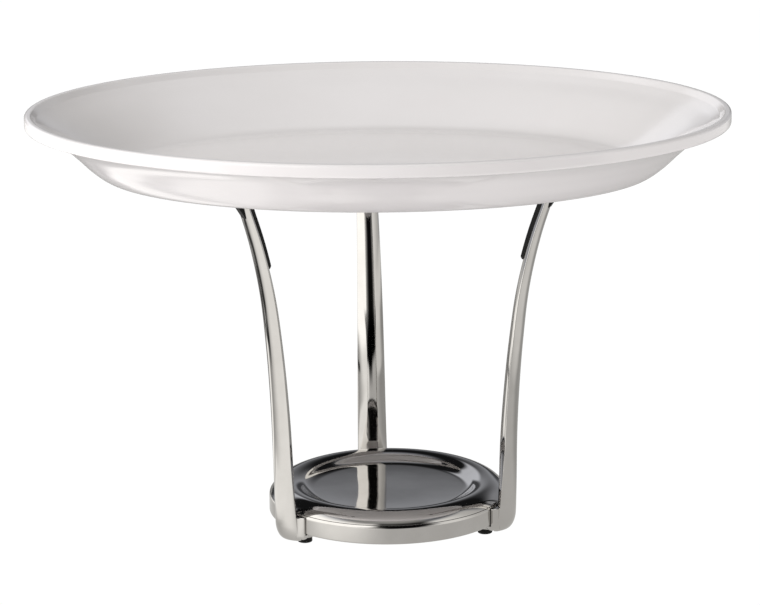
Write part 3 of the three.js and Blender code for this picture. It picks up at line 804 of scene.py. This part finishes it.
def surround(az, el):
    """Colour of the studio in one direction, in degrees. Azimuth 90 is behind the object, 270 is the camera's side."""
    # wall behind: grey near the floor, dark higher up; the room on the camera's side is unlit
    v, cool = 0.50 * (1 - smoothstep(2, 40, el)) ** 1.35 + 0.012, 1.0
    up = smoothstep(10, 22, el)
    w = smoothstep(200, 225, az) * smoothstep(334, 312, az)
    v, cool = mix(v, 0.006, w), cool * (1 - w)
    # pale panel behind at the left, grey one behind at the right
    v = mix(v, 0.80, smoothstep(97, 104, az) * smoothstep(152, 140, az) * smoothstep(36, 31, el) * smoothstep(6, 12, el))
    v = mix(v, 0.07, smoothstep(62, 76, az) * smoothstep(128, 119, az) * smoothstep(13, 8, el))
    if az < 100:
        v = mix(v, 0.36, smoothstep(78, 52, az) * smoothstep(-1, 14, az) * smoothstep(38, 22, el))
    # long soft box at the left
    w = smoothstep(150, 176, az) * smoothstep(mix(274, 262, up), mix(229, 249, up), az) * smoothstep(66, 40, el)
    v, cool = mix(v, 1.95, w), cool * (1 - w)
    # reflector at the right
    a = (az + 180.0) % 360.0 - 180.0
    w = smoothstep(mix(-66, -52, up), mix(-36, -30, up), a) * smoothstep(32, 12, a) * smoothstep(58, 46, el)
    v, cool = mix(v, mix(1.15, 0.74, smoothstep(-26, 12, a)), w), cool * (1 - w)
    v = mix(v, 0.45, smoothstep(50, 66, el))
    return [v * mix(WARM[i], COOL[i], cool) for i in range(3)]


def table_top(x, y):
    """Colour of the table as the steel mirrors it, at a point in mm."""
    far = math.hypot(x, y)
    v = 0.68
    # lit from the left: in front, beside the object and further out
    v = mix(v, 1.32, smoothstep(12, -62, x) * smoothstep(-40, -92, y))
    v = mix(v, mix(1.32, 0.45, smoothstep(-120, 110, y)), smoothstep(-90, -130, x) * smoothstep(-120, -80, y))
    v = mix(v, 1.35, smoothstep(-226, -200, x) * smoothstep(-90, -120, x) * smoothstep(60, 20, y))
    v = mix(v, 1.90, smoothstep(-400, -560, x))
    # behind: dark, with a pale strip that runs out to the left
    t = math.degrees(math.atan2(y + 27.0, x - 83.0))
    v = mix(v, 0.32, smoothstep(60, 110, y) * smoothstep(146, 138, t))
    v = mix(v, 1.45, smoothstep(143, 147, t) * smoothstep(161, 156, t) * smoothstep(-100, -140, x))
    v = mix(v, 0.80, smoothstep(700, 1100, far) * smoothstep(112, 122, t) * smoothstep(154, 149, t))
    # the right side: grey near by, paler from a third of a metre on
    near = mix(0.70, 0.46, smoothstep(-30, 90, y))
    out = mix(mix(0.98, 0.42, smoothstep(50, 240, y)), 1.08, smoothstep(560, 900, x))
    v = mix(v, mix(near, out, smoothstep(316, 358, x)), smoothstep(90, 130, x) * smoothstep(104, 96, t))
    # narrow dark curved streak at the left, painted into the table's light that the steel mirrors
    d = abs(x + 350 - 0.00095 * (y - 60) ** 2) / 13.0
    v = mix(v, 0.03, smoothstep(1.5, 0.8, d) * smoothstep(-5, 50, y) * smoothstep(360, 260, y))
    # front edge of the table, nearest in the middle, with the dark room and the soft box's end beyond it
    middle = smoothstep(-70, 20, x) * smoothstep(190, 70, x)
    edge = -470 - 120 * smoothstep(250, 900, x) - 120 * smoothstep(-300, -900, x) - 500 * smoothstep(1000, 1500, x)
    beyond = mix(mix(0.0, 0.17, smoothstep(-120, -280, x)), 1.85, smoothstep(-700, -1000, x))
    beyond = mix(beyond, 0.22, smoothstep(700, 1500, x))
    v = mix(beyond, v, smoothstep(edge - 90 + 100 * middle, edge + 60 + 200 * middle, y))
    # far out it meets the studio's wall in the same tone
    w, sky = smoothstep(900, 2400, far), surround(math.degrees(math.atan2(y, x)) % 360.0, 0.0)
    return [mix(v * WARM[i], sky[i], w) for i in range(3)]


def painted(name, verts, faces, colours):
    """Stage mesh that gives the light stored at its vertices, seen only in reflections."""
    ob = stage_object(name, verts, faces, glow_material(name, 1.0, attribute="light"))
    col = ob.data.color_attributes.new("light", "FLOAT_COLOR", "POINT")
    for c, v in zip(col.data, colours):
        c.color = (*v, 1.0)
    ob.visible_camera = ob.visible_diffuse = ob.visible_transmission = ob.visible_volume_scatter = ob.visible_shadow = False
    return ob


def make_bounce():
    """Light that the floor throws back up: dim in the shadow under the platter, strongest towards the left."""
    n, span = 60, math.asinh(9000.0 / 60.0)
    line = [60.0 * math.sinh(span * (2 * k / n - 1)) for k in range(n + 1)]
    light = []
    for y in line:
        for x in line:
            r = math.hypot(x * 0.85, y * (1.5 if y < 0 else 0.5))
            v = mix(0.05, mix(1.58, 1.03, smoothstep(-160, 230, x)), smoothstep(190, 370, r))
            light.append([v * c for c in (1.0, 0.985, 0.99)])
    verts = [(x * MM, y * MM, 0.0) for y in line for x in line]
    faces = [(j * (n + 1) + i, j * (n + 1) + i + 1, (j + 1) * (n + 1) + i + 1, (j + 1) * (n + 1) + i)
             for j in range(n) for i in range(n)]
    ob = painted("floor_bounce", verts, faces, light)
    ob.visible_diffuse, ob.visible_glossy = True, False


def make_backdrop():
    """White all around behind the floor's edge, for views from low down. Only the camera sees it."""
    seg, rows, R = 48, 24, 13.0
    verts, faces = [], []
    for j in range(rows + 1):
        e = math.radians(-90.0 + 180.0 * j / rows)
        for i in range(seg):
            a = math.radians(360.0 * i / seg)
            verts.append((R * math.cos(e) * math.cos(a), R * math.cos(e) * math.sin(a), R * math.sin(e)))
    for j in range(rows):
        for i in range(seg):
            k = (i + 1) % seg
            faces.append((j * seg + i, j * seg + k, (j + 1) * seg + k, (j + 1) * seg + i))
    ob = stage_object("backdrop", verts, faces, glow_material("backdrop_white", 1.02))
    ob.visible_glossy = ob.visible_diffuse = ob.visible_shadow = False
    ob.visible_transmission = ob.visible_volume_scatter = False


def make_surround():
    seg, rows, R = 180, 90, 14.0
    verts, faces, light = [], [], []
    for j in range(rows + 1):
        el = -90.0 + 180.0 * j / rows
        for i in range(seg):
            az = 360.0 * i / seg
            a, e = math.radians(az), math.radians(el)
            verts.append((R * math.cos(e) * math.cos(a), R * math.cos(e) * math.sin(a), R * math.sin(e)))
            light.append(surround(az, el))
    for j in range(rows):
        for i in range(seg):
            k = (i + 1) % seg
            faces.append((j * seg + i, j * seg + k, (j + 1) * seg + k, (j + 1) * seg + i))
    painted("surround", verts, faces, light)


def make_table():
    n, span = 190, math.asinh(9000.0 / 45.0)
    line = [45.0 * math.sinh(span * (2 * k / n - 1)) for k in range(n + 1)]
    verts = [(x * MM, y * MM, 0.0) for y in line for x in line]
    faces = [(j * (n + 1) + i, j * (n + 1) + i + 1, (j + 1) * (n + 1) + i + 1, (j + 1) * (n + 1) + i)
             for j in range(n) for i in range(n)]
    painted("table", verts, faces, [table_top(x, y) for y in line for x in line])


def area_light(name, loc, target, size, size_y, power, spread=180.0, glossy=True):
    d = bpy.data.lights.new(name, "AREA")
    d.shape, d.size, d.size_y, d.energy = "RECTANGLE", size, size_y, power
    d.spread = math.radians(spread)
    ob = bpy.data.objects.new(name, d)
    ob.location = loc
    ob.rotation_mode = "QUATERNION"
    ob.rotation_quaternion = (Vector(target) - Vector(loc)).to_track_quat("-Z", "Y")
    bpy.context.scene.collection.objects.link(ob)
    ob.visible_camera = False
    ob.visible_glossy = glossy
    return ob


def make_studio():
    sc = bpy.context.scene
    sc.view_settings.view_transform = "Standard"
    sc.view_settings.look = "None"
    sc.view_settings.exposure = 0.0
    sc.view_settings.gamma = 1.0
    world = bpy.data.worlds.new("studio")
    world.use_nodes = True
    bg = world.node_tree.nodes["Background"]
    bg.inputs["Color"].default_value = (1.0, 0.995, 0.985, 1.0)
    bg.inputs["Strength"].default_value = 0.498
    sc.world = world

    # the white floor that the camera sees, and the light that it throws back up
    s = 9.0
    quad = [(-s, -s, 0), (s, -s, 0), (s, s, 0), (-s, s, 0)]
    a = stage_object("floor", quad, [(0, 1, 2, 3)], glow_material("floor_white", 1.02))
    a.visible_glossy = a.visible_diffuse = a.visible_shadow = a.visible_transmission = False
    make_backdrop()
    make_bounce()
    make_table()
    make_surround()
    area_light("key_left", (-1.5, -0.5, 1.3), (0, 0, 0.2), 1.2, 1.2, 26.8, glossy=False)
    area_light("fill_right", (1.6, -0.2, 0.9), (0, 0, 0.2), 1.0, 1.0, 2.7, glossy=False)


make_studio()
